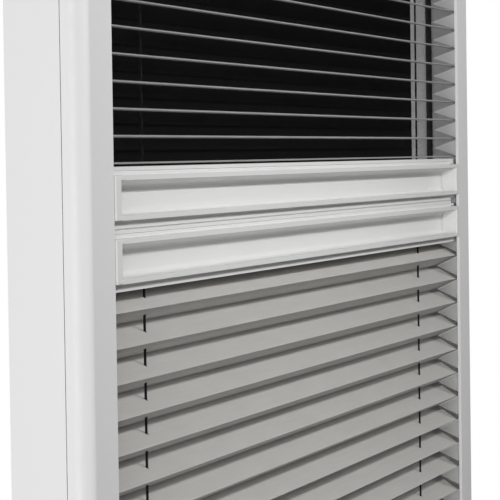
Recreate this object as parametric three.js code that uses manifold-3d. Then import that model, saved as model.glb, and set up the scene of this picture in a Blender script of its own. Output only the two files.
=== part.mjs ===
// A framed pleated blind with a fly screen, for a roof window.
//
// A white frame holds two pleated fabrics: a black fly screen above and a grey shade below.
// They meet at two operating rails with a grip recess, which slide up and down on two cords.
// The cords run from knot plugs in the top member to springs in the bottom member.
//
// The frame's own directions are x across, y the depth behind the front plane and z up from
// the bottom edge. The last group moves the origin to the mounting face of the bottom member.

import * as THREE from 'three';
import { mergeVertices } from 'three/addons/utils/BufferGeometryUtils.js';
import Module from 'manifold-3d';

// ---------------------------------------------------------------- driving dimensions, mm

const FRAME_WIDTH = 780;
const FRAME_HEIGHT = 1180;
const FRAME_DEPTH = 42;
const MEETING_HEIGHT = 660; // where the two rails meet, above the frame's bottom edge

const CLEARANCE = 0.3; // between pieces that seat on each other
const SLIDE_GAP = 0.6; // between pieces that slide past each other

// The frame members' section.
const MEMBER_WIDTH = 17; // from the outer side to the web that faces the pleats
const LIP_REACH = 19.5; // how far the cover's lip reaches over the channel
const LIP_THICKNESS = 2.2;
const COVER_WALL = 1.6;
const BASE_WALL = 1.6;
const COVER_SIDE_DEPTH = 12.5; // how deep the cover's side skirt is
const COVER_PROUD = 0.6; // how far the cover stands out past the base's side
const COVER_CHAMFER = 3.9; // depth of the slope that leads from the cover to the base
const CORNER_RADIUS = 8;
const CLIP_LEG_DEPTH = 7;
const TUBE_FRONT = 17.5; // depth at which the base's closed tube begins
const MITRE_GAP = 0.15; // on each side of a mitre

// The brush seals.
const BRUSH_DEPTH = 24.9; // where the brush begins, behind the front plane
const BRUSH_WIDTH = 4.8;
const BRUSH_SEAT = 1.3; // depth of its groove in the web
const BRUSH_PILE = 2.4; // how far the pile stands out of the web

// The corner keys and their screws.
const KEY_ARM = 48;
const KEY_SCREW_REACH = 36; // from the frame's outer corner to a screw
const SCREW_RADIUS = 1.6;
const SCREW_LENGTH = 12;
const SCREW_HEAD_RADIUS = 3.1;
const SCREW_HEAD_HEIGHT = 1.9;

// The pleated fabrics.
const FABRIC_THICKNESS = 0.4;
const PANEL_WIDTH = 21.2; // from fold to fold, measured on the fabric
const FOLD_FRONT = 3.2; // depth of the front folds
const EDGE_GAP = 1; // between a fabric's side edge and the web
const SCREEN_PITCH = 13.7; // from front fold to front fold, when the rails are at rest
const SHADE_PITCH = 17.8;
const END_RISE = 1.2; // from a fabric's end to its first fold
const STRIP_WIDTH = 11.5; // the strips that hold the fabrics' ends
const STRIP_THICKNESS = 1.5;

// The cords.
const CORD_RADIUS = 0.6;
const CORD_DEPTH = 13.3;
const CORD_INSET = 110; // from the frame's outer side to the cord
const CORD_HOLE = 1.1; // half width of the square punched in the fabric
const EYELET_BORE = 0.9;
const EYELET_RADIUS = 1.7;
const EYELET_FLANGE_RADIUS = 2.6;
const EYELET_FLANGE = 0.8;
const SPRING_RADIUS = 2.6; // at the middle of the wire
const SPRING_WIRE = 0.4;
const SPRING_TURNS = 5;
const SPRING_LENGTH = 7.6;
const SPRING_CUP = 1.6; // the cup's thickness
const PLUG_RADIUS = 2.4;
const PLUG_HEIGHT = 5;

// The operating rails' section.
const RAIL_PROUD = 0.6; // how far a rail stands out past the frame's front plane
const RAIL_DEPTH = 21.5;
const RAIL_BODY = 22.6; // height of the front body
const RAIL_FLANGE = 4.2; // height of each set-back flange
const FLANGE_SETBACK = 4.6;
const FLANGE_GROOVE = 0.5; // depth of the bead line along each flange
const RAIL_LIP = 2.5; // height of the lips above and below the grip recess
const RAIL_WALL = 1.1;
const RECESS_DEPTH = 11.4;
const RECESS_SLOPE = 2.2; // how far the recess's ceiling drops towards the back
const RECESS_TOP_RADIUS = 3.4;
const RECESS_BOTTOM_RADIUS = 3.3;
const RAIL_END_GAP = 0.9; // between the rail's end and the frame's lip
const RAIL_MEETING_GAP = 0.6;
const CAP_WIDTH = 8;
const TENON_LENGTH = 12;
const GLIDE_FRONT = 4.2; // depth at which a glide begins
const GLIDE_BACK = 19;
const GLIDE_RADIUS = 1.5;
const MEETING_GLIDE_SETBACK = 2; // a glide's arm is lower where the rails meet
const GUIDE_RADIUS = 1.2;
const GUIDE_BORE = 0.85;
const INSERT_HEIGHT = 8;
const INSERT_THICKNESS = 0.6;
const INSERT_INSET = 55; // from the frame's right lip to the insert's end

const ROUND_SEGMENTS = 12;
const ARC_SEGMENTS = 5;

// ---------------------------------------------------------------- sizes that follow

const halfWidth = FRAME_WIDTH / 2;
const lipEdge = MEMBER_WIDTH + LIP_REACH;
const openingHalf = halfWidth - lipEdge;
const webHalf = halfWidth - MEMBER_WIDTH;
const cordX = halfWidth - CORD_INSET;

const railHeight = RAIL_BODY + 2 * RAIL_FLANGE;
const railFront = -RAIL_PROUD;
const railBack = railFront + RAIL_DEPTH;
const railHalfLength = openingHalf - RAIL_END_GAP;
const profileHalfLength = railHalfLength - CAP_WIDTH - CLEARANCE;
const flangeFront = railFront + FLANGE_SETBACK;
const recessBack = railFront + RECESS_DEPTH;
const recessHalf = RAIL_BODY / 2 - RAIL_LIP;
const stripSeat = STRIP_THICKNESS + CLEARANCE;
const stripDepth = (flangeFront + railBack) / 2;

const lowerRailCentre = MEETING_HEIGHT - RAIL_MEETING_GAP / 2 - railHeight / 2;
const upperRailCentre = MEETING_HEIGHT + RAIL_MEETING_GAP / 2 + railHeight / 2;

const footStripBottom = MEMBER_WIDTH + CLEARANCE;
const headStripBottom = FRAME_HEIGHT - MEMBER_WIDTH - CLEARANCE - STRIP_THICKNESS;
const shadeBottom = footStripBottom + STRIP_THICKNESS + CLEARANCE;
const shadeTop = lowerRailCentre - railHeight / 2 - CLEARANCE;
const screenBottom = upperRailCentre + railHeight / 2 + CLEARANCE;
const screenTop = headStripBottom - CLEARANCE;

// ---------------------------------------------------------------- materials

const material = (color, roughness, metalness = 0) =>
  new THREE.MeshStandardMaterial({ color, roughness, metalness });

const frameWhite = () => material(0xe4e4e3, 0.42);
const railWhite = () => material(0xdcdcda, 0.4);
const plasticWhite = () => material(0xe2e2e0, 0.35);
const meshBlack = () => material(0x17171a, 0.85);
const fabricGrey = () => material(0xa5a29c, 0.9);
const cordBlack = () => material(0x0c0c0c, 0.7);
const brushBlack = () => material(0x1b1b1c, 0.95);
const steel = () => material(0xa6a8aa, 0.35, 1);

// ---------------------------------------------------------------- solids and booleans

const wasm = await Module();
wasm.setup();

function toSolid(geometry) {
  const bare = geometry.clone();
  bare.deleteAttribute('normal');
  bare.deleteAttribute('uv');
  const merged = mergeVertices(bare, 1e-4);
  return new wasm.Manifold(new wasm.Mesh({
    numProp: 3,
    vertProperties: new Float32Array(merged.attributes.position.array),
    triVerts: new Uint32Array(merged.index.array),
  }));
}

function toGeometry(solid) {
  const { vertProperties, triVerts, numProp } = solid.getMesh();
  const positions = new Float32Array((vertProperties.length / numProp) * 3);
  for (let i = 0; i < positions.length / 3; i += 1) {
    for (let k = 0; k < 3; k += 1) positions[3 * i + k] = vertProperties[numProp * i + k];
  }
  const geometry = new THREE.BufferGeometry();
  geometry.setAttribute('position', new THREE.BufferAttribute(positions, 3));
  geometry.setIndex(new THREE.BufferAttribute(new Uint32Array(triVerts), 1));
  return geometry;
}

function cut(geometry, cutters) {
  return toGeometry(cutters.reduce((left, c) => left.subtract(toSolid(c)), toSolid(geometry)));
}

function join(geometries) {
  return toGeometry(geometries.map(toSolid).reduce((sum, part) => sum.add(part)));
}

function box(low, high) {
  const size = high.map((value, k) => value - low[k]);
  const geometry = new THREE.BoxGeometry(...size);
  return geometry.translate(...low.map((value, k) => value + size[k] / 2));
}

function outline(points) {
  return new THREE.Shape(points.map(([x, y]) => new THREE.Vector2(x, y)));
}

function extrude(shape, length) {
  return new THREE.ExtrudeGeometry(shape, {
    depth: length,
    bevelEnabled: false,
    curveSegments: ARC_SEGMENTS,
  });
}

// A shape drawn in depth (y) and height (z), made long along x and centred on it.
function extrudeAcross(shape, halfLength) {
  return extrude(shape, 2 * halfLength)
    .translate(0, 0, -halfLength)
    .applyMatrix4(new THREE.Matrix4().makeBasis(
      new THREE.Vector3(0, 1, 0),
      new THREE.Vector3(0, 0, 1),
      new THREE.Vector3(1, 0, 0),
    ));
}

// A round piece that stands on z. The profile lists radius and height, and closes on itself.
function turned(profile) {
  const loop = [...profile, profile[0]].map(([r, z]) => new THREE.Vector2(r, z));
  return new THREE.LatheGeometry(loop, ROUND_SEGMENTS).rotateX(Math.PI / 2);
}

function ring(bore, radius, bottom, top) {
  return turned([[bore, bottom], [radius, bottom], [radius, top], [bore, top]]);
}

function rod(radius, bottom, top) {
  return new THREE.CylinderGeometry(radius, radius, top - bottom, ROUND_SEGMENTS)
    .rotateX(Math.PI / 2)
    .translate(0, 0, (bottom + top) / 2);
}

const blind = new THREE.Group();

function addMesh(parent, name, geometry, finish, position = [0, 0, 0]) {
  const mesh = new THREE.Mesh(geometry, finish);
  mesh.name = name;
  mesh.position.set(...position);
  parent.add(mesh);
}

// ---------------------------------------------------------------- the frame's members

// The members' sections are drawn with x inwards from the outer side and y backwards from the
// front plane. A member lies along z, centred on it.

function baseSection() {
  const side = COVER_PROUD;
  const inner = side + BASE_WALL;
  const web = MEMBER_WIDTH - BASE_WALL;
  const groove = MEMBER_WIDTH - BRUSH_SEAT;
  const grooveWall = groove - BASE_WALL;
  const brushEnd = BRUSH_DEPTH + BRUSH_WIDTH;
  const tubeFront = TUBE_FRONT + BASE_WALL;
  const tubeBack = FRAME_DEPTH - BASE_WALL;
  const shape = outline([
    [side, COVER_SIDE_DEPTH + CLEARANCE],
    [inner, COVER_SIDE_DEPTH + CLEARANCE],
    [inner, TUBE_FRONT],
    [web, TUBE_FRONT],
    [web, LIP_THICKNESS + CLEARANCE],
    [MEMBER_WIDTH, LIP_THICKNESS + CLEARANCE],
    [MEMBER_WIDTH, BRUSH_DEPTH],
    [groove, BRUSH_DEPTH],
    [groove, brushEnd],
    [MEMBER_WIDTH, brushEnd],
    [MEMBER_WIDTH, FRAME_DEPTH],
    [side, FRAME_DEPTH],
  ]);
  shape.holes.push(new THREE.Path([
    [inner, tubeFront],
    [inner, tubeBack],
    [web, tubeBack],
    [web, brushEnd + BASE_WALL],
    [grooveWall, brushEnd + BASE_WALL],
    [grooveWall, BRUSH_DEPTH - BASE_WALL],
    [web, BRUSH_DEPTH - BASE_WALL],
    [web, tubeFront],
  ].map(([x, y]) => new THREE.Vector2(x, y))));
  return shape;
}

function coverSection() {
  const leg = MEMBER_WIDTH - BASE_WALL - CLEARANCE;
  const innerRadius = CORNER_RADIUS - COVER_WALL;
  const shape = new THREE.Shape();
  shape.moveTo(lipEdge, LIP_THICKNESS);
  shape.lineTo(leg, LIP_THICKNESS);
  shape.lineTo(leg, CLIP_LEG_DEPTH);
  shape.lineTo(leg - COVER_WALL, CLIP_LEG_DEPTH);
  shape.lineTo(leg - COVER_WALL, COVER_WALL);
  shape.lineTo(CORNER_RADIUS, COVER_WALL);
  shape.absarc(CORNER_RADIUS, CORNER_RADIUS, innerRadius, -Math.PI / 2, -Math.PI, true);
  shape.lineTo(COVER_WALL, COVER_SIDE_DEPTH - COVER_CHAMFER);
  shape.lineTo(COVER_PROUD + COVER_WALL, COVER_SIDE_DEPTH);
  shape.lineTo(COVER_PROUD, COVER_SIDE_DEPTH);
  shape.lineTo(0, COVER_SIDE_DEPTH - COVER_CHAMFER);
  shape.lineTo(0, CORNER_RADIUS);
  shape.absarc(CORNER_RADIUS, CORNER_RADIUS, CORNER_RADIUS, Math.PI, 1.5 * Math.PI, false);
  shape.lineTo(lipEdge, 0);
  shape.closePath();
  return shape;
}

// A bar with both ends cut at 45 degrees, so that four of them close into a frame.
function mitred(shape, length) {
  const geometry = extrude(shape, length).translate(0, 0, -length / 2);
  const position = geometry.attributes.position;
  for (let i = 0; i < position.count; i += 1) {
    const end = Math.sign(position.getZ(i));
    position.setZ(i, end * (length / 2 - position.getX(i) - MITRE_GAP));
  }
  return geometry;
}

// Each side's place: the middle of its outer face, and its turn about the depth direction.
const sides = {
  left: { length: FRAME_HEIGHT, place: [-halfWidth, 0, FRAME_HEIGHT / 2], turn: 0 },
  right: { length: FRAME_HEIGHT, place: [halfWidth, 0, FRAME_HEIGHT / 2], turn: Math.PI },
  top: { length: FRAME_WIDTH, place: [0, 0, FRAME_HEIGHT], turn: Math.PI / 2 },
  bottom: { length: FRAME_WIDTH, place: [0, 0, 0], turn: -Math.PI / 2 },
};

// A round cutter along the depth direction, for a screw.
function depthCutter(radius, x, z, front, back) {
  return rod(radius, 0, back - front).rotateX(-Math.PI / 2).translate(x, front, z);
}

const screwAcross = (COVER_PROUD + MEMBER_WIDTH) / 2;

function frameBase(side) {
  const { length } = sides[side];
  const reach = length / 2 - KEY_SCREW_REACH;
  const screwEnd = TUBE_FRONT + 2 * BASE_WALL;
  const cutters = [-reach, reach].map((z) =>
    depthCutter(SCREW_RADIUS + CLEARANCE, screwAcross, z, TUBE_FRONT - BASE_WALL, screwEnd));
  if (side === 'top' || side === 'bottom') {
    for (const z of [-cordX, cordX]) {
      cutters.push(rod(EYELET_RADIUS + CLEARANCE, -2 * BASE_WALL, 2 * BASE_WALL)
        .rotateY(Math.PI / 2)
        .translate(MEMBER_WIDTH - BASE_WALL / 2, CORD_DEPTH, z));
    }
  }
  return cut(mitred(baseSection(), length), cutters);
}

for (const [side, { length, place, turn }] of Object.entries(sides)) {
  const member = new THREE.Group();
  member.position.set(...place);
  member.rotation.y = turn;
  addMesh(member, `${side}_frame_profile`, frameBase(side), frameWhite());
  addMesh(member, `${side}_frame_cover`, mitred(coverSection(), length), frameWhite());
  blind.add(member);
}

// ---------------------------------------------------------------- corner keys and screws

const keyFront = TUBE_FRONT + BASE_WALL + CLEARANCE;
const keyBack = FRAME_DEPTH - BASE_WALL - CLEARANCE;
const keyOuter = COVER_PROUD + BASE_WALL + CLEARANCE;
const keyInner = MEMBER_WIDTH - BRUSH_SEAT - BASE_WALL - CLEARANCE;

// The key of the lower left corner, drawn from the frame's outer corner.
function cornerKey() {
  const upright = box([keyOuter, keyFront, keyOuter], [keyInner, keyBack, KEY_ARM]);
  const lying = box([keyOuter, keyFront, keyOuter], [KEY_ARM, keyBack, keyInner]);
  const holeEnd = TUBE_FRONT + SCREW_LENGTH + CLEARANCE;
  const holes = [[screwAcross, KEY_SCREW_REACH], [KEY_SCREW_REACH, screwAcross]].map(([x, z]) =>
    depthCutter(SCREW_RADIUS + CLEARANCE, x, z, TUBE_FRONT, holeEnd));
  return cut(join([upright, lying]), holes);
}

function keyScrew() {
  return turned([
    [0, -SCREW_LENGTH],
    [SCREW_RADIUS, -SCREW_LENGTH + SCREW_RADIUS],
    [SCREW_RADIUS, CLEARANCE],
    [SCREW_HEAD_RADIUS, CLEARANCE],
    [SCREW_HEAD_RADIUS, SCREW_HEAD_HEIGHT / 2 + CLEARANCE],
    [SCREW_HEAD_RADIUS - SCREW_HEAD_HEIGHT / 2, SCREW_HEAD_HEIGHT + CLEARANCE],
    [0, SCREW_HEAD_HEIGHT + CLEARANCE],
  ]).rotateX(Math.PI / 2);
}

const corners = {
  lower_left: { place: [-halfWidth, 0, 0], turn: 0 },
  upper_left: { place: [-halfWidth, 0, FRAME_HEIGHT], turn: Math.PI / 2 },
  upper_right: { place: [halfWidth, 0, FRAME_HEIGHT], turn: Math.PI },
  lower_right: { place: [halfWidth, 0, 0], turn: -Math.PI / 2 },
};

for (const [corner, { place, turn }] of Object.entries(corners)) {
  const group = new THREE.Group();
  group.position.set(...place);
  group.rotation.y = turn;
  addMesh(group, `${corner}_corner_key`, cornerKey(), plasticWhite());
  addMesh(group, `${corner}_key_screw_a`, keyScrew(), steel(),
    [screwAcross, TUBE_FRONT, KEY_SCREW_REACH]);
  addMesh(group, `${corner}_key_screw_b`, keyScrew(), steel(),
    [KEY_SCREW_REACH, TUBE_FRONT, screwAcross]);
  blind.add(group);
}

// ---------------------------------------------------------------- brush seals

const brushSeatX = webHalf + BRUSH_SEAT - CLEARANCE;
const brushTipX = webHalf - BRUSH_PILE;
const brushEnds = MEMBER_WIDTH + BRUSH_PILE;

function brushSeal() {
  const seat = box(
    [-brushSeatX, BRUSH_DEPTH + CLEARANCE, brushEnds],
    [-webHalf, BRUSH_DEPTH + BRUSH_WIDTH - CLEARANCE, FRAME_HEIGHT - brushEnds],
  );
  const pile = box(
    [-webHalf - BRUSH_SEAT / 2, BRUSH_DEPTH + BRUSH_WIDTH / 4, brushEnds],
    [-brushTipX, BRUSH_DEPTH + 0.75 * BRUSH_WIDTH, FRAME_HEIGHT - brushEnds],
  );
  return join([seat, pile]);
}

addMesh(blind, 'left_brush_seal', brushSeal(), brushBlack());
addMesh(blind, 'right_brush_seal', brushSeal().rotateZ(Math.PI)
  .translate(0, 2 * BRUSH_DEPTH + BRUSH_WIDTH, 0), brushBlack());

// ---------------------------------------------------------------- pleated fabrics

// A pleated fabric's section in depth and height. It starts in the middle of its strip, reaches
// its first fold after END_RISE, and then folds to and fro up to the other strip. Both sides of
// the fabric are the same zigzag, moved to the front and to the back by halfSpread.
function pleatSection(bottom, top, nominalPitch, endFoldsAreFront) {
  const run = top - bottom - 2 * END_RISE;
  const panels = 2 * Math.round(run / nominalPitch);
  const rise = run / panels;
  const halfSpread = (FABRIC_THICKNESS / 2) * (PANEL_WIDTH / rise);
  const front = FOLD_FRONT + halfSpread;
  const back = front + Math.sqrt(PANEL_WIDTH ** 2 - rise ** 2);
  const line = [[stripDepth, bottom]];
  for (let i = 0; i <= panels; i += 1) {
    const isFront = (i % 2 === 0) === endFoldsAreFront;
    line.push([isFront ? front : back, bottom + END_RISE + i * rise]);
  }
  line.push([stripDepth, top]);
  const frontSide = line.map(([y, z]) => [y - halfSpread, z]);
  const backSide = line.map(([y, z]) => [y + halfSpread, z]).reverse();
  return outline([...frontSide, ...backSide]);
}

function pleatedSheet(bottom, top, nominalPitch, endFoldsAreFront) {
  const section = pleatSection(bottom, top, nominalPitch, endFoldsAreFront);
  const holes = [-cordX, cordX].map((x) => box(
    [x - CORD_HOLE, CORD_DEPTH - CORD_HOLE, bottom - 1],
    [x + CORD_HOLE, CORD_DEPTH + CORD_HOLE, top + 1],
  ));
  return cut(extrudeAcross(section, webHalf - EDGE_GAP), holes);
}

// The screen ends in front folds and the shade in back folds.
addMesh(blind, 'fly_screen',
  pleatedSheet(screenBottom, screenTop, SCREEN_PITCH, true), meshBlack());
addMesh(blind, 'pleated_shade',
  pleatedSheet(shadeBottom, shadeTop, SHADE_PITCH, false), fabricGrey());

// ---------------------------------------------------------------- strips at the fabrics' ends

function endStrip(halfLength, bottom, holeRadius) {
  const strip = box(
    [-halfLength, stripDepth - STRIP_WIDTH / 2, bottom],
    [halfLength, stripDepth + STRIP_WIDTH / 2, bottom + STRIP_THICKNESS],
  );
  return cut(strip, [-cordX, cordX].map((x) =>
    rod(holeRadius, bottom - 1, bottom + STRIP_THICKNESS + 1).translate(x, CORD_DEPTH, 0)));
}

const frameStripHole = EYELET_FLANGE_RADIUS + CLEARANCE;
const railStripHole = GUIDE_RADIUS + CLEARANCE;
addMesh(blind, 'head_strip',
  endStrip(webHalf - EDGE_GAP, headStripBottom, frameStripHole), plasticWhite());
addMesh(blind, 'foot_strip',
  endStrip(webHalf - EDGE_GAP, footStripBottom, frameStripHole), plasticWhite());

// ---------------------------------------------------------------- cords, plugs and springs

// A helix from one height to the other, for the springs.
class Helix extends THREE.Curve {
  getPoint(t) {
    const angle = 2 * Math.PI * SPRING_TURNS * t;
    const height = SPRING_WIRE + t * (SPRING_LENGTH - 2 * SPRING_WIRE);
    const [x, y] = [SPRING_RADIUS * Math.cos(angle), SPRING_RADIUS * Math.sin(angle)];
    return new THREE.Vector3(x, y, height);
  }
}

function spring() {
  const wire = new THREE.Shape();
  wire.absarc(0, 0, SPRING_WIRE, 0, 2 * Math.PI, false);
  return new THREE.ExtrudeGeometry(wire, {
    steps: SPRING_TURNS * ROUND_SEGMENTS,
    curveSegments: 3,
    bevelEnabled: false,
    extrudePath: new Helix(),
  });
}

const webBottomFace = MEMBER_WIDTH - BASE_WALL; // the underside of the bottom member's web
const springTop = webBottomFace - CLEARANCE;
const springBottom = springTop - SPRING_LENGTH;
const cupTop = springBottom - CLEARANCE;
const cordBottom = cupTop - SPRING_CUP / 2;
const plugBottom = FRAME_HEIGHT - webBottomFace + CLEARANCE;
const cordTop = plugBottom + PLUG_HEIGHT / 2;
const cordSeat = CORD_RADIUS + CLEARANCE;

// A plug is a cup with a bore that the cord enters from its open side.
function plug(radius, height) {
  return turned([
    [0, height / 2 + CLEARANCE],
    [cordSeat, height / 2 + CLEARANCE],
    [cordSeat, 0],
    [radius, 0],
    [radius, height],
    [0, height],
  ]);
}

// The eyelet's flange lies against the web's face towards the pleats.
function eyelet() {
  return turned([
    [EYELET_BORE, CLEARANCE + EYELET_FLANGE],
    [EYELET_BORE, -BASE_WALL],
    [EYELET_RADIUS, -BASE_WALL],
    [EYELET_RADIUS, CLEARANCE],
    [EYELET_FLANGE_RADIUS, CLEARANCE],
    [EYELET_FLANGE_RADIUS, CLEARANCE + EYELET_FLANGE],
  ]);
}

for (const [side, x] of [['left', -cordX], ['right', cordX]]) {
  const at = (z) => [x, CORD_DEPTH, z];
  addMesh(blind, `${side}_cord`, rod(CORD_RADIUS, cordBottom, cordTop), cordBlack(), at(0));
  addMesh(blind, `${side}_cord_plug`, plug(PLUG_RADIUS, PLUG_HEIGHT), plasticWhite(),
    at(plugBottom));
  addMesh(blind, `${side}_cord_spring`, spring(), steel(), at(springBottom));
  addMesh(blind, `${side}_spring_cup`,
    plug(SPRING_RADIUS + SPRING_WIRE, SPRING_CUP).rotateX(Math.PI), plasticWhite(), at(cupTop));
  addMesh(blind, `${side}_lower_eyelet`, eyelet(), plasticWhite(), at(MEMBER_WIDTH));
  addMesh(blind, `${side}_upper_eyelet`, eyelet().rotateX(Math.PI), plasticWhite(),
    at(FRAME_HEIGHT - MEMBER_WIDTH));
}

// ---------------------------------------------------------------- operating rails

// A rail's section is drawn in depth and height, centred on the rail's height. side is 1 for
// the upper edge and -1 for the lower edge.

function flangeOutline(side) {
  const body = RAIL_BODY / 2;
  const edge = railHeight / 2;
  const bead = RAIL_FLANGE / 3;
  const seatHalf = STRIP_WIDTH / 2 + CLEARANCE;
  return [
    [flangeFront, side * body],
    [flangeFront, side * (body + bead)],
    [flangeFront + FLANGE_GROOVE, side * (body + bead)],
    [flangeFront + FLANGE_GROOVE, side * (body + 1.6 * bead)],
    [flangeFront, side * (body + 1.6 * bead)],
    [flangeFront, side * edge],
    [stripDepth - seatHalf, side * edge],
    [stripDepth - seatHalf, side * (edge - stripSeat)],
    [stripDepth + seatHalf, side * (edge - stripSeat)],
    [stripDepth + seatHalf, side * edge],
    [railBack, side * edge],
  ];
}

// The grip recess: a sloping ceiling, a flat back and round corners between them.
function addRecess(shape) {
  const ceiling = recessHalf - RECESS_SLOPE;
  const bendStart = recessBack - RECESS_TOP_RADIUS;
  shape.lineTo(railFront, recessHalf);
  shape.lineTo(bendStart, ceiling);
  shape.quadraticCurveTo(recessBack, ceiling, recessBack, ceiling - RECESS_TOP_RADIUS);
  shape.lineTo(recessBack, RECESS_BOTTOM_RADIUS - recessHalf);
  shape.absarc(recessBack - RECESS_BOTTOM_RADIUS, RECESS_BOTTOM_RADIUS - recessHalf,
    RECESS_BOTTOM_RADIUS, 0, -Math.PI / 2, true);
  shape.lineTo(railFront, -recessHalf);
}

function railSection() {
  const shape = new THREE.Shape();
  shape.moveTo(railFront, RAIL_BODY / 2);
  addRecess(shape);
  shape.lineTo(railFront, -RAIL_BODY / 2);
  for (const [y, z] of flangeOutline(-1)) shape.lineTo(y, z);
  for (const [y, z] of flangeOutline(1).reverse()) shape.lineTo(y, z);
  shape.closePath();

  const chamberFront = recessBack + RAIL_WALL;
  const chamberBack = railBack - RAIL_WALL;
  const chamberEdge = railHeight / 2 - stripSeat - RAIL_WALL;
  const cornerFront = flangeFront + FLANGE_GROOVE + RAIL_WALL;
  const floor = recessHalf + RAIL_WALL;
  const bend = recessBack - RAIL_WALL;
  shape.holes.push(new THREE.Path([
    [cornerFront, -chamberEdge],
    [chamberBack, -chamberEdge],
    [chamberBack, chamberEdge],
    [cornerFront, chamberEdge],
    [cornerFront, recessHalf],
    [bend, recessHalf - RECESS_SLOPE + RAIL_WALL],
    [chamberFront, recessHalf - RECESS_TOP_RADIUS],
    [chamberFront, RECESS_BOTTOM_RADIUS - floor],
    [bend, -floor],
    [cornerFront, -floor],
  ].map(([y, z]) => new THREE.Vector2(y, z))));
  return shape;
}

function railProfile() {
  const holes = [-cordX, cordX].map((x) =>
    rod(GUIDE_RADIUS + CLEARANCE, -railHeight, railHeight).translate(x, CORD_DEPTH, 0));
  return cut(extrudeAcross(railSection(), profileHalfLength), holes);
}

// An end cap closes the body's end, and a tenon holds it in the profile's chamber. A glide is a
// bracket round the cap that runs in the frame's channel. Both are drawn for the right end.
function endCap() {
  const body = RAIL_BODY / 2;
  const tenonHalf = body - RAIL_WALL;
  const start = profileHalfLength + CLEARANCE;
  const tenonFront = recessBack + RAIL_WALL + CLEARANCE;
  const tenonBack = railBack - RAIL_WALL - CLEARANCE;
  return join([
    box([start, railFront, -body], [railHalfLength, railBack, body]),
    box([start - TENON_LENGTH, tenonFront, 2 * RECESS_BOTTOM_RADIUS - tenonHalf],
      [start + 1, tenonBack, tenonHalf - 2 * RECESS_TOP_RADIUS]),
  ]);
}

// meetingSide is 1 where the other rail lies above this one and -1 where it lies below.
function glide(meetingSide) {
  const start = profileHalfLength + CLEARANCE;
  const capEdge = RAIL_BODY / 2 + CLEARANCE;
  const inner = railHalfLength + CLEARANCE;
  const outer = webHalf - SLIDE_GAP;
  const full = railHeight / 2;
  const low = full - MEETING_GLIDE_SETBACK;
  const [top, bottom] = meetingSide > 0 ? [low, full] : [full, low];
  const shape = new THREE.Shape();
  shape.moveTo(start, capEdge);
  shape.lineTo(inner, capEdge);
  shape.lineTo(inner, -capEdge);
  shape.lineTo(start, -capEdge);
  shape.lineTo(start, -bottom);
  shape.lineTo(outer - GLIDE_RADIUS, -bottom);
  shape.absarc(outer - GLIDE_RADIUS, GLIDE_RADIUS - bottom, GLIDE_RADIUS, -Math.PI / 2, 0, false);
  shape.lineTo(outer, top - GLIDE_RADIUS);
  shape.absarc(outer - GLIDE_RADIUS, top - GLIDE_RADIUS, GLIDE_RADIUS, 0, Math.PI / 2, false);
  shape.lineTo(start, top);
  shape.closePath();
  return extrude(shape, GLIDE_BACK - GLIDE_FRONT)
    .rotateX(Math.PI / 2)
    .translate(0, GLIDE_BACK, 0);
}

// Turns a piece drawn for the right end into one for the left end.
function mirrored(geometry) {
  return toGeometry(toSolid(geometry).mirror([1, 0, 0]));
}

function gripInsert() {
  const right = openingHalf - INSERT_INSET;
  const bottom = RECESS_BOTTOM_RADIUS - recessHalf;
  return box(
    [-profileHalfLength, recessBack - CLEARANCE - INSERT_THICKNESS, bottom],
    [right, recessBack - CLEARANCE, bottom + INSERT_HEIGHT],
  );
}

function addRail(name, centre, meetingSide) {
  const rail = new THREE.Group();
  rail.position.z = centre;
  addMesh(rail, `${name}_profile`, railProfile(), railWhite());
  for (const [side, turn] of [['left', mirrored], ['right', (geometry) => geometry]]) {
    addMesh(rail, `${name}_${side}_end_cap`, turn(endCap()), plasticWhite());
    addMesh(rail, `${name}_${side}_glide`, turn(glide(meetingSide)), plasticWhite());
    addMesh(rail, `${name}_${side}_cord_guide`,
      ring(GUIDE_BORE, GUIDE_RADIUS, stripSeat - railHeight / 2, railHeight / 2 - stripSeat),
      plasticWhite(), [side === 'left' ? -cordX : cordX, CORD_DEPTH, 0]);
  }
  const stripEdge = railHeight / 2 - STRIP_THICKNESS;
  const stripBottom = meetingSide > 0 ? -railHeight / 2 : stripEdge;
  addMesh(rail, `${name}_fabric_strip`,
    endStrip(profileHalfLength, stripBottom, railStripHole), plasticWhite());
  blind.add(rail);
  return rail;
}

addRail('lower_rail', lowerRailCentre, 1);
const upperRail = addRail('upper_rail', upperRailCentre, -1);
addMesh(upperRail, 'upper_rail_grip_insert', gripInsert(), railWhite());

// ---------------------------------------------------------------- the finished part

// The origin is the middle of the bottom member's back face, which is screwed to the sash.
blind.position.set(0, -FRAME_DEPTH, -MEMBER_WIDTH / 2);
const part = new THREE.Group();
part.add(blind);

export default part;
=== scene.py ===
# %% [markdown]
# # A framed pleated blind with a fly screen
#
# The real object is a white aluminium frame for a roof window. A black fly screen hangs
# in its upper half and a grey shade stands in its lower half. Both fabrics are pleated,
# and two operating rails carry their ends up and down on a pair of tight cords.
#
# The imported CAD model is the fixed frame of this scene: its nodes give every place and
# size, and each piece made below moves with one of its bodies.

import math

import bmesh
import bpy
import numpy as np
from mathutils import Matrix, Vector


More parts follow.
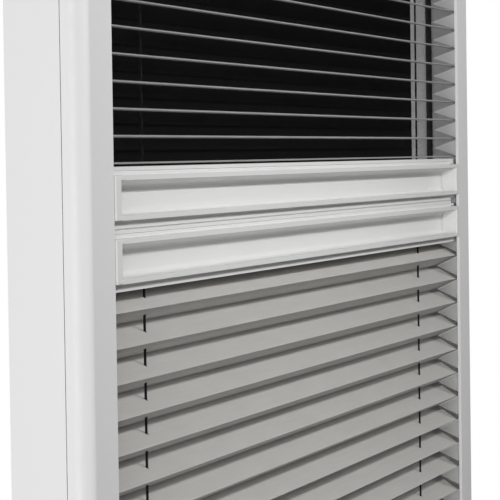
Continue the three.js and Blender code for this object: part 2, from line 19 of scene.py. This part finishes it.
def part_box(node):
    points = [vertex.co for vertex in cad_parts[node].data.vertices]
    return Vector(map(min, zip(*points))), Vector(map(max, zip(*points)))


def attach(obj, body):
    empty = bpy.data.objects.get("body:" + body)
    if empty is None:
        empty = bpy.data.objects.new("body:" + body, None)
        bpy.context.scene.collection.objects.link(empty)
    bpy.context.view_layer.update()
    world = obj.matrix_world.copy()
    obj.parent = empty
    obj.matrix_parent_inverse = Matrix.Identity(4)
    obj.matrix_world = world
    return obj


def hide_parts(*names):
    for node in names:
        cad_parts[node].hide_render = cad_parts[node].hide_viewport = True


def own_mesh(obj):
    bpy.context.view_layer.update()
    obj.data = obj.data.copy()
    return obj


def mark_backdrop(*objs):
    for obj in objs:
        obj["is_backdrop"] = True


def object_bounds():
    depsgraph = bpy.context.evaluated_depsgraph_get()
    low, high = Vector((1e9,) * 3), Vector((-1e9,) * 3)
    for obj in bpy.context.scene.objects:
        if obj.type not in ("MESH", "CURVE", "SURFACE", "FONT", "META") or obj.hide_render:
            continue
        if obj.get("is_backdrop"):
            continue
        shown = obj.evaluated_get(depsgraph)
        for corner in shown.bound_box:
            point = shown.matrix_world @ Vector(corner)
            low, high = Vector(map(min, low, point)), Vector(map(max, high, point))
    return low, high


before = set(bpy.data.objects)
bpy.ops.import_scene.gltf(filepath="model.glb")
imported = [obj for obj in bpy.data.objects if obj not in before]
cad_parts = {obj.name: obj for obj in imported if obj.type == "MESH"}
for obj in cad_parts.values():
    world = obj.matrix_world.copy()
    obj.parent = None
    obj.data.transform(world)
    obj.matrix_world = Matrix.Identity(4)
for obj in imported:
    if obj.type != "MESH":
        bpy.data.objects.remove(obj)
cad_low, cad_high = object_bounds()
MM = 0.001
print("CAD box in metres:", [round(v, 4) for v in (*cad_low, *cad_high)])

# %% [markdown]
# ## Camera
#
# The object is seen from its left side through a long lens, so that the left member
# nearly fills the left edge and the right member is far away. A long lens at this
# distance keeps the rails almost parallel. The camera is turned by three small angles,
# given here as the direction it looks in, its tilt and its roll.

# %% Camera
CAMERA_PLACE = Vector((-1.513888, -0.501453, 0.687784))
LOOK_TURN = 0.3238196
LOOK_TILT = -0.0375192
LOOK_ROLL = -0.0144010
LENS_MM = 182.392
SENSOR_MM = 36

ahead = Vector((
    math.cos(LOOK_TURN) * math.cos(LOOK_TILT),
    math.sin(LOOK_TURN) * math.cos(LOOK_TILT),
    math.sin(LOOK_TILT),
))
level_right = ahead.cross(Vector((0, 0, 1))).normalized()
level_up = level_right.cross(ahead)
camera_right = math.cos(LOOK_ROLL) * level_right + math.sin(LOOK_ROLL) * level_up
camera_up = math.cos(LOOK_ROLL) * level_up - math.sin(LOOK_ROLL) * level_right

camera = bpy.data.objects.new("camera", bpy.data.cameras.new("camera"))
camera.data.lens = LENS_MM
camera.data.sensor_width = SENSOR_MM
camera.data.clip_start = 0.05
camera.data.clip_end = 50
camera.matrix_world = Matrix.Translation(CAMERA_PLACE) @ Matrix(
    (camera_right, camera_up, -ahead)).transposed().to_4x4()
bpy.context.scene.collection.objects.link(camera)
bpy.context.scene.camera = camera
print("camera looks along", [round(v, 3) for v in ahead])

# %% [markdown]
# ## Light
#
# One small lamp hangs in front of the blind, above its left half. It stands so near that
# every pleat shades the one below it with a fairly sharp edge. A large soft panel far to
# the left fills the frame's outer side and the web behind the right ends of the pleats.
# A panel high on the right and one behind even things out. The white surroundings are
# bright to the eye but add little light, so that the pleats keep their contrast.

# %% Lamps and surroundings
scene = bpy.context.scene
scene.view_settings.view_transform = "Standard"
scene.view_settings.look = "None"


def lamp(name, place, target, size, watts, shape="DISK"):
    data = bpy.data.lights.new(name, "AREA")
    data.shape = shape
    data.size = size
    data.energy = watts
    obj = bpy.data.objects.new(name, data)
    obj.location = place
    obj.rotation_euler = (Vector(target) - Vector(place)).to_track_quat("-Z", "Y").to_euler()
    scene.collection.objects.link(obj)
    return obj


lamp("key_lamp", (-0.13, -0.768, 1.078), (0.0, 0.0, 0.62), 0.1, 4.2)
lamp("left_panel", (-2.6, -0.34, 0.62), (0, 0, 0.6), 1.3, 45, "SQUARE")
lamp("right_panel", (1.3, -1.9, 1.6), (0.1, 0, 0.6), 0.8, 14, "SQUARE")
lamp("back_panel", (-1.1, 2.2, 1.2), (0.1, 0, 0.6), 1.2, 18, "SQUARE")

SURROUNDINGS_LIGHT = 0.07
world = bpy.data.worlds.new("white_room")
scene.world = world
world.use_nodes = True
tree = world.node_tree
tree.nodes.clear()
seen = tree.nodes.new("ShaderNodeBackground")
seen.inputs["Color"].default_value = (1, 1, 1, 1)
seen.inputs["Strength"].default_value = 1.0
lights = tree.nodes.new("ShaderNodeBackground")
lights.inputs["Color"].default_value = (1, 1, 1, 1)
lights.inputs["Strength"].default_value = SURROUNDINGS_LIGHT
path = tree.nodes.new("ShaderNodeLightPath")
choice = tree.nodes.new("ShaderNodeMixShader")
out = tree.nodes.new("ShaderNodeOutputWorld")
tree.links.new(path.outputs["Is Camera Ray"], choice.inputs[0])
tree.links.new(lights.outputs[0], choice.inputs[1])
tree.links.new(seen.outputs[0], choice.inputs[2])
tree.links.new(choice.outputs[0], out.inputs["Surface"])

# %% [markdown]
# ## Helpers
#
# A shape is edited as a bmesh and then written to an object that sits at the origin,
# like the CAD nodes do. One call then says which body it moves with and which CAD node it
# stands for. A material is a small graph of nodes round the Principled shader, so one
# helper adds a node and wires its inputs.


# %% Helpers for shapes
def to_object(bm, name, materials, smooth_angle=35):
    """Writes the bmesh to a new object at the origin, with its materials and sharp edges."""
    mesh = bpy.data.meshes.new(name)
    bm.to_mesh(mesh)
    bm.free()
    for item in materials:
        mesh.materials.append(item)
    obj = bpy.data.objects.new(name, mesh)
    scene.collection.objects.link(obj)
    mark_sharp(mesh, smooth_angle)
    return obj


def mark_sharp(mesh, angle):
    """Shades smoothly, except across edges that bend by more than the angle."""
    mesh.polygons.foreach_set("use_smooth", [True] * len(mesh.polygons))
    bm = bmesh.new()
    bm.from_mesh(mesh)
    limit = math.radians(angle)
    for edge in bm.edges:
        edge.smooth = len(edge.link_faces) == 2 and edge.calc_face_angle(0) < limit
    bm.to_mesh(mesh)
    bm.free()


def even_shading(obj):
    """Keeps large flat faces flat, so that only the rounded edges shade softly."""
    evened = obj.modifiers.new("even_shading", "WEIGHTED_NORMAL")
    evened.keep_sharp = True
    evened.weight = 100


def fit(obj, body, stands_for=None):
    if stands_for:
        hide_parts(stands_for)
    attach(obj, body)
    return obj


def box_mesh(bm, low, high):
    """Adds a block between two corners and returns its vertices."""
    low, high = Vector(low), Vector(high)
    made = bmesh.ops.create_cube(bm, size=1)["verts"]
    bmesh.ops.scale(bm, vec=high - low, verts=made)
    bmesh.ops.translate(bm, vec=(low + high) / 2, verts=made)
    return made


def round_edges(bm, width, segments=2, angle=30):
    """Rounds every edge that bends by more than the angle."""
    limit = math.radians(angle)
    edges = [e for e in bm.edges if e.is_manifold and e.calc_face_angle(0) > limit]
    bmesh.ops.bevel(bm, geom=edges, offset=width, offset_type="OFFSET", affect="EDGES",
                    segments=segments, profile=0.5, material=-1, clamp_overlap=True)


# %% Helpers for materials
def material(name, colour, roughness, metallic=0.0):
    made = bpy.data.materials.new(name)
    made.use_nodes = True
    shader = made.node_tree.nodes["Principled BSDF"]
    shader.inputs["Base Color"].default_value = (*colour, 1)
    shader.inputs["Roughness"].default_value = roughness
    shader.inputs["Metallic"].default_value = metallic
    return made, shader


def node(mat, kind, wires=None, **settings):
    """Adds a node. A wire's value is a number, a vector or another node's output."""
    made = mat.node_tree.nodes.new(kind)
    for key, value in settings.items():
        setattr(made, key, value)
    for key, value in (wires or {}).items():
        if isinstance(value, bpy.types.NodeSocket):
            mat.node_tree.links.new(value, made.inputs[key])
        else:
            made.inputs[key].default_value = value
    return made


def wire(mat, source, target):
    mat.node_tree.links.new(source, target)


def noise(mat, place, scale, detail=2.0, stretch=(1, 1, 1)):
    """Noise whose scale counts bumps in a metre."""
    turned = node(mat, "ShaderNodeMapping", {"Vector": place, "Scale": stretch})
    return node(mat, "ShaderNodeTexNoise",
                {"Vector": turned.outputs[0], "Scale": scale, "Detail": detail}).outputs["Fac"]


def fade(mat, source, low, high, low_value, high_value):
    """Maps low..high of a wire to two values, colours or numbers."""
    if isinstance(low_value, tuple):
        ramp = node(mat, "ShaderNodeValToRGB", {"Fac": source})
        ramp.color_ramp.elements[0].position = low
        ramp.color_ramp.elements[0].color = (*low_value, 1)
        ramp.color_ramp.elements[1].position = high
        ramp.color_ramp.elements[1].color = (*high_value, 1)
        return ramp.outputs["Color"]
    spread = node(mat, "ShaderNodeMapRange", {
        "Value": source, "From Min": low, "From Max": high,
        "To Min": low_value, "To Max": high_value})
    return spread.outputs["Result"]


def bump(mat, height, depth_of_bump, strength=1.0):
    return node(mat, "ShaderNodeBump", {
        "Height": height, "Distance": depth_of_bump, "Strength": strength}).outputs["Normal"]


def object_place(mat):
    return node(mat, "ShaderNodeTexCoord").outputs["Object"]


def uv_place(mat):
    return node(mat, "ShaderNodeTexCoord").outputs["UV"]


def bands(mat, place, axis, pitch):
    """Even waves across one axis, one for each pitch."""
    return node(mat, "ShaderNodeTexWave", {
        "Vector": place, "Scale": math.pi / 10 / pitch, "Distortion": 0.0},
        wave_type="BANDS", bands_direction=axis).outputs["Fac"]


# %% [markdown]
# ## Finishes
#
# The frame and rails are powder coated. Such a coat has a fine, shallow orange peel, and
# its gloss and colour drift a little over a long bar. The small fittings are moulded in
# plastic, which is smoother. The mouldings' grain is finer and their gloss more even.


# %% Powder coat and plastic
def coated(name, colour, gloss, peel):
    mat, shader = material(name, colour, gloss)
    place = object_place(mat)
    drift = noise(mat, place, 5.0, 3.0, (1, 1, 0.35))
    dark = tuple(0.965 * c for c in colour)
    wire(mat, fade(mat, drift, 0.3, 0.7, dark, colour), shader.inputs["Base Color"])
    speckle = noise(mat, place, 260.0, 3.0)
    wire(mat, fade(mat, speckle, 0.3, 0.7, gloss - 0.05, gloss + 0.07),
         shader.inputs["Roughness"])
    orange_peel = noise(mat, place, 950.0, 2.0)
    wire(mat, bump(mat, orange_peel, peel, 0.6), shader.inputs["Normal"])
    shader.inputs["Specular IOR Level"].default_value = 0.42
    return mat


frame_white = coated("frame_powder_coat", (0.80, 0.80, 0.802), 0.46, 0.00006)
rail_white = coated("rail_powder_coat", (0.79, 0.79, 0.785), 0.42, 0.00005)
white_plastic = coated("moulded_plastic", (0.80, 0.80, 0.79), 0.36, 0.00002)
print("coats:", frame_white.name, rail_white.name, white_plastic.name)

# %% [markdown]
# The shade is a plain weave with a dull, warm grey coat. Threads run along the pleats
# and across them, half a millimetre apart, and each thread passes over one and under the
# next. Two rows of waves give the threads, and a checker says which one is on top. Some
# threads are thicker than others, which gives long faint streaks along the pleats.

# %% Shade fabric
THREAD = 0.0005


def weave(mat, place, pitch):
    across = bands(mat, place, "X", pitch)
    along = bands(mat, place, "Y", pitch)
    squares = node(mat, "ShaderNodeTexChecker", {"Vector": place, "Scale": 1 / pitch})
    return node(mat, "ShaderNodeMix", {
        "Factor": squares.outputs["Fac"], "A": across, "B": along}).outputs["Result"]


shade_fabric, shader = material("shade_weave", (0.56, 0.545, 0.52), 0.85)
place = uv_place(shade_fabric)
slubs = noise(shade_fabric, place, 1.0, 3.0, (18, 1300, 1))
blotches = noise(shade_fabric, place, 26.0, 4.0)
streaked = fade(shade_fabric, slubs, 0.3, 0.7, (0.545, 0.534, 0.512), (0.605, 0.592, 0.57))
mottled = node(shade_fabric, "ShaderNodeMix", {
    "Factor": fade(shade_fabric, blotches, 0.3, 0.75, 0.0, 0.35),
    "A": streaked, "B": (0.51, 0.499, 0.479, 1)}, data_type="RGBA")
wire(shade_fabric, mottled.outputs["Result"], shader.inputs["Base Color"])
wire(shade_fabric, bump(shade_fabric, weave(shade_fabric, place, THREAD), 0.00012, 0.5),
     shader.inputs["Normal"])
shader.inputs["Sheen Weight"].default_value = 0.12
shader.inputs["Sheen Roughness"].default_value = 0.5
shader.inputs["Specular IOR Level"].default_value = 0.2
print("shade threads in a metre:", round(1 / THREAD))

# %% [markdown]
# The fly screen is an open net of black threads. It is drawn as one thin sheet whose
# openings are cut out by the material: where neither row of threads stands high, the
# sheet is clear. Its pressed folds are squeezed tight, so there the net is nearly closed.
# Their light grey colour is a painted highlight, the light that the fold edges catch.

# %% Screen net
NET = 0.0009


def net(name, colour, thread_share, gloss):
    mat, shader = material(name, colour, gloss)
    place = uv_place(mat)
    height = node(mat, "ShaderNodeMath", {
        0: bands(mat, place, "X", NET), 1: bands(mat, place, "Y", NET)},
        operation="MAXIMUM").outputs[0]
    edge = 0.5 + 0.5 * math.cos(math.pi * thread_share)
    wire(mat, fade(mat, height, edge - 0.06, edge + 0.06, 0.0, 1.0), shader.inputs["Alpha"])
    wire(mat, bump(mat, height, 0.0001, 0.7), shader.inputs["Normal"])
    worn = noise(mat, place, 1.0, 3.0, (30, 1100, 1))
    lighter = tuple(1.35 * c for c in colour)
    shader.inputs["Specular IOR Level"].default_value = 0.12
    wire(mat, fade(mat, worn, 0.3, 0.7, colour, lighter), shader.inputs["Base Color"])
    return mat


screen_net = net("screen_net", (0.009, 0.009, 0.0095), 0.28, 0.65)
# The net at the pressed folds is denser, and its light grey colour is a painted highlight.
fold_highlight_net = net("net_fold_painted_highlight", (0.36, 0.36, 0.362), 0.9, 0.45)
print("net openings in a metre:", round(1 / NET))

# %% [markdown]
# The cords are braided polyester, black and dull. The brush is black pile. Springs and
# screws are zinc plated steel, with the cloudy grain of the plating.

# %% Cord, brush and steel
cord_black, shader = material("cord_braid", (0.006, 0.006, 0.006), 0.7)
place = object_place(cord_black)
leaning = node(cord_black, "ShaderNodeMapping", {
    "Vector": place, "Rotation": (0.6, 0.0, 0.6)}).outputs[0]
strands = bands(cord_black, leaning, "Z", 0.0009)
wire(cord_black, bump(cord_black, strands, 0.0002, 0.8), shader.inputs["Normal"])
wire(cord_black, fade(cord_black, strands, 0.2, 0.8,
                      (0.003, 0.003, 0.003), (0.014, 0.014, 0.015)),
     shader.inputs["Base Color"])
shader.inputs["Specular IOR Level"].default_value = 0.15

brush_black, shader = material("brush_pile", (0.02, 0.02, 0.021), 0.9)
place = object_place(brush_black)
hairs = noise(brush_black, place, 1.0, 3.0, (300, 300, 5000))
wire(brush_black, fade(brush_black, hairs, 0.35, 0.65,
                       (0.01, 0.01, 0.011), (0.05, 0.05, 0.052)),
     shader.inputs["Base Color"])
wire(brush_black, bump(brush_black, hairs, 0.0002), shader.inputs["Normal"])

zinc, shader = material("zinc_plated_steel", (0.62, 0.63, 0.64), 0.32, 1.0)
place = object_place(zinc)
clouds = noise(zinc, place, 420.0, 4.0)
wire(zinc, fade(zinc, clouds, 0.3, 0.7, (0.52, 0.53, 0.55), (0.70, 0.71, 0.72)),
     shader.inputs["Base Color"])
wire(zinc, fade(zinc, clouds, 0.3, 0.7, 0.24, 0.42), shader.inputs["Roughness"])
wire(zinc, bump(zinc, noise(zinc, place, 2600.0, 2.0), 0.00002), shader.inputs["Normal"])
print("finishes made:", len([m for m in bpy.data.materials if m.use_nodes]))

# %% [markdown]
# ## Floor and backing
#
# The blind stands on a small pale floor, which adds no bounced light to the pleats'
# undersides. Behind the opening hangs a black board, which is painted shade: it stands for
# the darkness seen through the net, so that the net shows black from the front. The board
# is clear from behind and casts no shadow, and the blind's back stays in sight.

# %% Floor and backing
floor_mat, shader = material("pale_floor", (0.86, 0.86, 0.85), 0.7)
place = object_place(floor_mat)
wire(floor_mat, fade(floor_mat, noise(floor_mat, place, 3.0, 4.0), 0.3, 0.7,
                     (0.84, 0.84, 0.83), (0.88, 0.88, 0.87)), shader.inputs["Base Color"])
shader.inputs["Emission Color"].default_value = (0.86, 0.86, 0.85, 1)
shader.inputs["Emission Strength"].default_value = 0.4
bm = bmesh.new()
bmesh.ops.create_circle(bm, cap_ends=True, radius=1.9, segments=96)
bmesh.ops.translate(bm, vec=(0, 0, cad_low.z - 0.0005), verts=bm.verts)
floor = to_object(bm, "floor", [floor_mat])
floor.visible_diffuse = False

# The board's black is painted shade, the darkness seen through the net, shown to the camera
# only.
painted_dark_mat, shader = material("painted_shade_black", (0.004, 0.004, 0.004), 0.9)
shader.inputs["Specular IOR Level"].default_value = 0.0
facing = node(painted_dark_mat, "ShaderNodeNewGeometry").outputs["Backfacing"]
wire(painted_dark_mat, fade(painted_dark_mat, facing, 0.0, 1.0, 1.0, 0.0), shader.inputs["Alpha"])
web_left, web_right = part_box("left_frame_profile")[1].x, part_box("right_frame_profile")[0].x
web_low, web_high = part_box("bottom_frame_profile")[1].z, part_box("top_frame_profile")[0].z
bm = bmesh.new()
bmesh.ops.create_grid(bm, x_segments=1, y_segments=1, size=0.5)
bmesh.ops.rotate(bm, matrix=Matrix.Rotation(math.pi / 2, 3, "X"), verts=bm.verts)
bmesh.ops.scale(bm, vec=(web_right - web_left, 1, web_high - web_low), verts=bm.verts)
bmesh.ops.translate(bm, vec=(0, -0.0005, (web_high + web_low) / 2), verts=bm.verts)
board = to_object(bm, "painted_shade_board", [painted_dark_mat])
board.visible_shadow = board.visible_diffuse = False
board.visible_glossy = board.visible_transmission = False
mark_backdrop(floor, board)
print("opening:", round(web_right - web_left, 4), "by", round(web_high - web_low, 4))

# %% [markdown]
# ## Coated bars
#
# The frame's bars and the rails are extrusions. A drawn section has knife edges, but a
# real extrusion and its coat round every edge by a few tenths, and those edges catch the
# light. So each bar is a copy of its CAD node: its loose triangles are merged, flat
# areas are joined into whole faces, and the edges that remain are rounded.


# %% A finished copy of a CAD node
def finished(node_name, new_name, body, mat, width, segments=2):
    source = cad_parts[node_name]
    bm = bmesh.new()
    bm.from_mesh(source.data)
    bmesh.ops.remove_doubles(bm, verts=bm.verts, dist=0.000002)
    bmesh.ops.dissolve_limit(bm, angle_limit=math.radians(0.6), verts=bm.verts,
                             edges=bm.edges, use_dissolve_boundaries=False)
    round_edges(bm, width, segments, 28)
    obj = to_object(bm, new_name, [mat], 40)
    even_shading(obj)
    return fit(obj, body, node_name)


for side in ("left", "right", "top", "bottom"):
    finished(f"{side}_frame_cover", f"{side}_cover_bar", "frame",
             frame_white, 0.00022)
    finished(f"{side}_frame_profile", f"{side}_base_bar", "frame",
             frame_white, 0.0002)
for rail in ("lower_rail", "upper_rail"):
    finished(f"{rail}_profile", f"{rail}_bar", rail, rail_white, 0.00018)
    finished(f"{rail}_fabric_strip", f"{rail}_clamp_strip", rail,
             white_plastic, 0.0002)
    for end in ("left", "right"):
        finished(f"{rail}_{end}_glide", f"{rail}_{end}_slider", rail,
                 white_plastic, 0.0005, 3)
for strip in ("head_strip", "foot_strip"):
    finished(strip, f"{strip}_bar", "frame", white_plastic, 0.0002)

# %% [markdown]
# ## Grip insert
#
# A flat strip is clipped into the upper rail's recess. It stops short of the rail's
# right end. Its edges are rounded, and its lower edge is let into the recess's round
# floor, so that no dark gap shows below it.

# %% Grip insert
INSERT_SINKS = 0.0022
INSERT_TOP_GAP = 0.0002
low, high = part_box("upper_rail_grip_insert")
bm = bmesh.new()
box_mesh(bm, (low.x, low.y, low.z - INSERT_SINKS), (high.x, high.y, high.z - INSERT_TOP_GAP))
round_edges(bm, 0.0003, 3)
insert = to_object(bm, "grip_insert", [rail_white])
even_shading(insert)
fit(insert, "upper_rail", "upper_rail_grip_insert")
print("insert is", round((high.x - low.x) / MM), "mm long")

# %% [markdown]
# ## Meeting lip
#
# Where the two rails meet, a thin soft lip on the upper rail closes the gap between
# them, and keeps light and insects out. It is a slim strip with rounded edges, as long
# as the rail's profile.

# %% Meeting lip
LIP_SET_BACK = 0.0052
LIP_DEPTH = 0.0008
LIP_BELOW = 0.0005
LIP_ABOVE = 0.0004
low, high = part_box("upper_rail_fabric_strip")
rail_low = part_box("upper_rail_profile")[0]
front = rail_low.y + LIP_SET_BACK
bm = bmesh.new()
box_mesh(bm, (low.x, front, rail_low.z - LIP_BELOW),
         (high.x, front + LIP_DEPTH, rail_low.z + LIP_ABOVE))
round_edges(bm, 0.00015, 2)
lip = to_object(bm, "upper_rail_meeting_lip", [white_plastic])
even_shading(lip)
fit(lip, "upper_rail")
print("meeting lip is", round((high.x - low.x) / MM), "mm long")

# %% [markdown]
# ## End caps
#
# Each rail ends in a moulded cap. It closes the grip recess and has the same height as
# the rail's front body, with a short tab over each lip and a tongue inside the rail. The
# cap is a block with rounded edges, and its tabs are thin blocks that lap over the lips.

# %% End caps
TAB = 0.0042
TAB_PROUD = 0.00015
RAIL_LIP = 0.0025
CAP_GAP = 0.0003


def end_cap(rail, end):
    low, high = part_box(f"{rail}_{end}_end_cap")
    rail_low, rail_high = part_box(f"{rail}_profile")
    out = 1 if end == "right" else -1
    inner = rail_high.x + CAP_GAP if out > 0 else rail_low.x - CAP_GAP
    outer = high.x if out > 0 else low.x
    bm = bmesh.new()
    x0, x1 = sorted((inner, outer))
    box_mesh(bm, (x0, low.y, low.z), (x1, high.y, high.z))
    round_edges(bm, 0.0007, 3)
    for z0, z1 in ((low.z + 0.0001, low.z + RAIL_LIP), (high.z - RAIL_LIP, high.z - 0.0001)):
        a, b = sorted((inner + 0.001 * out, inner - TAB * out))
        tab = bmesh.new()
        box_mesh(tab, (a, low.y - TAB_PROUD, z0), (b, low.y + 0.001, z1))
        round_edges(tab, 0.00045, 3)
        piece = bpy.data.meshes.new("tab")
        tab.to_mesh(piece)
        tab.free()
        bm.from_mesh(piece)
        bpy.data.meshes.remove(piece)
    obj = to_object(bm, f"{rail}_{end}_cap", [white_plastic])
    even_shading(obj)
    return fit(obj, rail, f"{rail}_{end}_end_cap")


caps = [end_cap(rail, end) for rail in ("lower_rail", "upper_rail") for end in ("left", "right")]
print("caps:", [c.name for c in caps])

# %% [markdown]
# ## Pleated fabrics
#
# A pleated blind's fabric is pressed into sharp folds once, and keeps them for life. So
# each fabric is one strip of cloth that goes to and fro between its front folds and back
# folds, from the strip that holds one end to the strip that holds the other. The
# fold line is drawn as edges on one side and extruded across the whole width in one go.
# The cords' holes are cut in every panel, and the folds are then rounded a little.
#
# Each vertex also carries its place on the flat cloth: the distance across, and the
# distance along the cloth from its lower end. The weave follows that map through every
# fold.

# %% Sizes of the pleats
PANEL = 0.0212
CAD_CLOTH = 0.0004
END_RISE = 0.0012
PANELS = 68
HOLE = 0.0011
SCREEN_NOSE = 0.0013
# Width of the band at the front folds with the denser net and the painted highlight.
DENSE_HIGHLIGHT_BAND = 0.0022
SHADE_NOSE = 0.0003
SHADE_THICKNESS = 0.0003
CORD_RADIUS = 0.0006
CORD_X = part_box("right_cord")[0].x + CORD_RADIUS
CORD_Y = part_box("right_cord")[0].y + CORD_RADIUS
STRIP_Y = sum(v.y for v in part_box("foot_strip")) / 2


def fold_line(node_name, ends_in_front):
    """The cloth's section as (y, z) points, with the front and back folds' depths."""
    low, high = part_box(node_name)
    rise = (high.z - low.z - 2 * END_RISE) / PANELS
    inset = CAD_CLOTH / 2 * PANEL / rise
    front, back = low.y + inset, high.y - inset
    points = [(STRIP_Y, low.z)]
    for i in range(PANELS + 1):
        y = front if (i % 2 == 0) == ends_in_front else back
        points.append((y, low.z + END_RISE + i * rise))
    points.append((STRIP_Y, high.z))
    return points, front, back


def cut_holes(bm):
    """Cuts a square hole in every panel where a cord passes."""
    for x in (-CORD_X, CORD_X):
        for co, no in (((x - HOLE, 0, 0), (1, 0, 0)), ((x + HOLE, 0, 0), (1, 0, 0)),
                       ((0, CORD_Y - HOLE, 0), (0, 1, 0)), ((0, CORD_Y + HOLE, 0), (0, 1, 0))):
            nearby = [f for f in bm.faces
                      if min(abs(v.co.x - x) for v in f.verts) < 0.004 or no == (1, 0, 0)]
            edges = {e for f in nearby for e in f.edges}
            verts = {v for f in nearby for v in f.verts}
            bmesh.ops.bisect_plane(bm, geom=[*nearby, *edges, *verts],
                                   plane_co=co, plane_no=no, dist=1e-7)
        inside = [f for f in bm.faces
                  if abs(f.calc_center_median().x - x) < HOLE
                  and abs(f.calc_center_median().y - CORD_Y) < HOLE]
        bmesh.ops.delete(bm, geom=inside, context="FACES")


def pleated(node_name, name, ends_in_front, nose, dense_highlight_band, materials):
    points, front, back = fold_line(node_name, ends_in_front)
    low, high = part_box(node_name)
    bm = bmesh.new()
    chain = [bm.verts.new((low.x, y, z)) for y, z in points]
    edges = [bm.edges.new(pair) for pair in zip(chain, chain[1:])]
    side = bmesh.ops.extrude_edge_only(bm, edges=edges)["geom"]
    bmesh.ops.translate(bm, vec=(high.x - low.x, 0, 0),
                        verts=[v for v in side if isinstance(v, bmesh.types.BMVert)])
    cut_holes(bm)
    folds = [e for e in bm.edges if abs(e.verts[0].co.x - e.verts[1].co.x) > 1e-5
             and all(min(abs(v.co.y - front), abs(v.co.y - back)) < 1e-7 for v in e.verts)]
    bmesh.ops.bevel(bm, geom=folds, offset=nose, offset_type="OFFSET", affect="EDGES",
                    segments=4, profile=0.5, material=-1)
    if dense_highlight_band:
        bmesh.ops.bisect_plane(bm, geom=[*bm.faces, *bm.edges, *bm.verts], dist=1e-7,
                               plane_co=(0, front + dense_highlight_band, 0), plane_no=(0, 1, 0))
    bmesh.ops.recalc_face_normals(bm, faces=bm.faces)
    # Faces in the band at the front folds take the second finish, whose light grey is a painted
    # highlight.
    for face in bm.faces:
        at_fold = all(v.co.y < front + dense_highlight_band + 1e-6 for v in face.verts)
        face.material_index = 1 if len(materials) > 1 and at_fold else 0
    heights = [z for _, z in points]
    run = np.concatenate([[0], np.cumsum([math.dist(a, b) for a, b in zip(points, points[1:])])])
    uv = bm.loops.layers.uv.new("cloth")
    for face in bm.faces:
        for loop in face.loops:
            loop[uv].uv = (loop.vert.co.x, np.interp(loop.vert.co.z, heights, run))
    obj = to_object(bm, name, materials, 60)
    fit(obj, "frame", node_name)
    print(name, "is cut to", round(high.x - low.x, 3), "by", round(run[-1], 3), "m")
    return obj, (high.x - low.x, float(run[-1]))


# %% Fly screen and shade
screen, screen_cut = pleated("fly_screen", "screen_cloth", True,
                             SCREEN_NOSE, DENSE_HIGHLIGHT_BAND, [screen_net, fold_highlight_net])
shade, shade_cut = pleated("pleated_shade", "shade_cloth", False,
                           SHADE_NOSE, 0, [shade_fabric])
thick = shade.modifiers.new("cloth_thickness", "SOLIDIFY")
thick.thickness = SHADE_THICKNESS
thick.offset = 0

# %% [markdown]
# When a rail slides, its fabric folds together between the rail and the frame. The
# screen closes towards the top as the upper rail rises, and the shade closes towards the
# bottom as the lower rail sinks. Here each fabric only gets a mesh of its own.

for cloth, node_name, joint, fixed_end in (
        (screen, "fly_screen", "upper_rail_slide", 1),
        (shade, "pleated_shade", "lower_rail_slide", 0)):
    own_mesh(cloth)

# %% [markdown]
# ## Cords
#
# Two tight braided cords run from plugs in the top member, through every pleat and both
# rails, to springs in the bottom member. A cord is a slim rod, with enough sides to be
# round up close.


# %% Cords
BRAID_RADIUS = 0.0007


def cord(side):
    low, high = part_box(f"{side}_cord")
    bm = bmesh.new()
    bmesh.ops.create_cone(bm, cap_ends=True, segments=14, radius1=BRAID_RADIUS,
                          radius2=BRAID_RADIUS, depth=high.z - low.z)
    bmesh.ops.translate(bm, vec=(low + high) / 2, verts=bm.verts)
    round_edges(bm, 0.0002, 2, 60)
    obj = to_object(bm, f"{side}_braided_cord", [cord_black])
    return fit(obj, "frame", f"{side}_cord")


cords = [cord("left"), cord("right")]
print("cord length:", round(cords[0].dimensions.z, 3), "m")

# %% [markdown]
# ## Brush seals
#
# A strip of black pile stands in a groove of each upright, and closes the gap beside the
# fabric. The backing strip is one long block. The pile is a row of small leaning tufts,
# a simple tapered shape repeated every four millimetres.

# %% Brush seals
TUFT_PITCH = 0.004
SEAT = 0.0012
SUNK = 0.0004


def brush(side):
    low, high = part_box(f"{side}_brush_seal")
    inward = 1 if side == "left" else -1
    seat_x, tip_x = (low.x, high.x) if inward > 0 else (high.x, low.x)
    seat_end = seat_x + inward * SEAT
    bm = bmesh.new()
    a, b = sorted((seat_x, seat_end))
    box_mesh(bm, (a, low.y, low.z), (b, high.y, high.z))
    round_edges(bm, 0.0002, 1)
    count = int((high.z - low.z) / TUFT_PITCH)
    middle = (low.y + high.y) / 2
    for i in range(count):
        made = bmesh.ops.create_cone(bm, cap_ends=True, segments=6, radius1=0.0019,
                                     radius2=0.0013, depth=abs(tip_x - seat_end) + SUNK)
        turn = Matrix.Rotation(inward * math.pi / 2, 3, "Y")
        bmesh.ops.rotate(bm, matrix=turn, verts=made["verts"])
        bmesh.ops.scale(bm, vec=(1, 0.6, 1.25), verts=made["verts"])
        lean = 0.0002 * math.sin(2.4 * i)
        bmesh.ops.translate(bm, verts=made["verts"], vec=(
            (tip_x + seat_end) / 2 - inward * SUNK / 2, middle + lean,
            low.z + (i + 0.5) * TUFT_PITCH))
    obj = to_object(bm, f"{side}_brush_pile", [brush_black], 50)
    return fit(obj, "frame", f"{side}_brush_seal")


brushes = [brush("left"), brush("right")]
print("tufts in a brush:", int((web_high - web_low) / TUFT_PITCH))

# %% [markdown]
# ## Small fittings
#
# Corner keys, screws, springs, eyelets, plugs, cups and guides keep their CAD shape and
# take their finish on their own material slots.

# %% Small fittings
FITTINGS = {
    "_corner_key": white_plastic, "_key_screw_a": zinc, "_key_screw_b": zinc,
    "_cord_spring": zinc, "_cord_plug": white_plastic, "_spring_cup": white_plastic,
    "_eyelet": white_plastic, "_cord_guide": white_plastic,
}
count = 0
for name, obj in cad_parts.items():
    if obj.hide_render:
        continue
    for ending, finish in FITTINGS.items():
        if name.endswith(ending):
            for place in obj.material_slots:
                place.link = "OBJECT"
                place.material = finish
            count += 1
print("fittings with a finish:", count, "of",
      len([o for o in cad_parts.values() if not o.hide_render]))

# %% Sizes
low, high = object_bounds()
print("visual box in metres:", [round(v, 4) for v in (*low, *high)])
